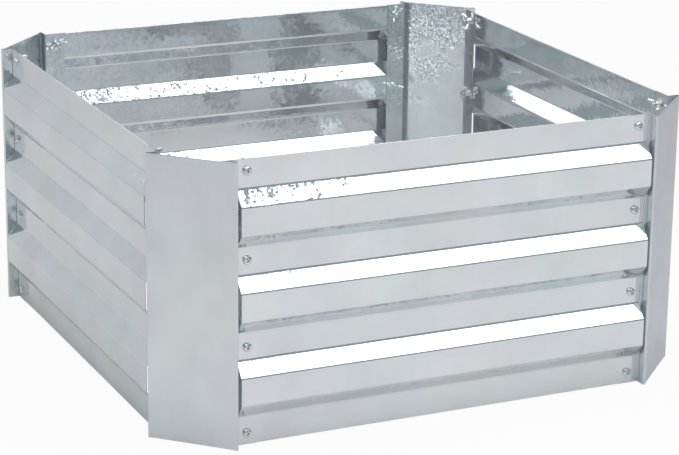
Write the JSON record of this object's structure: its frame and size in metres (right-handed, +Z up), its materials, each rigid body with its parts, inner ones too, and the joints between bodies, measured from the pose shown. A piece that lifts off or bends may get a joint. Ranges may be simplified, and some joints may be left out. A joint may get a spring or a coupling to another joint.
{
  "type": "raised garden bed",
  "caption": "Square raised garden bed of corrugated galvanised panels bolted to chamfered corner pieces, open at top and bottom.",
  "frame": {"origin": "middle of the bed's footprint, on the ground", "axes": "+Z up; +Y from the front wall to the back wall; +X from the left wall to the right wall"},
  "size_m": [0.61, 0.61, 0.298],
  "materials": {
    "galvanised_panel": "galvanised sheet with a faint spangle",
    "galvanised_corner": "galvanised sheet with a faint spangle",
    "zinc_screw": "bright zinc plating",
    "zinc_wing_nut": "bright zinc plating"
  },
  "bodies": {
    "root": {"corner_back_left": "galvanised_corner", "corner_back_right": "galvanised_corner", "corner_front_left": "galvanised_corner", "corner_front_right": "galvanised_corner", "panel_back": "galvanised_panel", "panel_front": "galvanised_panel", "panel_left": "galvanised_panel", "panel_right": "galvanised_panel", "screws_back_left": "zinc_screw", "screws_back_right": "zinc_screw", "screws_front_left": "zinc_screw", "screws_front_right": "zinc_screw", "screws_left_back": "zinc_screw", "screws_left_front": "zinc_screw", "screws_right_back": "zinc_screw", "screws_right_front": "zinc_screw", "wing_nuts_back_left": "zinc_wing_nut", "wing_nuts_back_right": "zinc_wing_nut", "wing_nuts_front_left": "zinc_wing_nut", "wing_nuts_front_right": "zinc_wing_nut", "wing_nuts_left_back": "zinc_wing_nut", "wing_nuts_left_front": "zinc_wing_nut", "wing_nuts_right_back": "zinc_wing_nut", "wing_nuts_right_front": "zinc_wing_nut"}
  },
  "joints": []
}
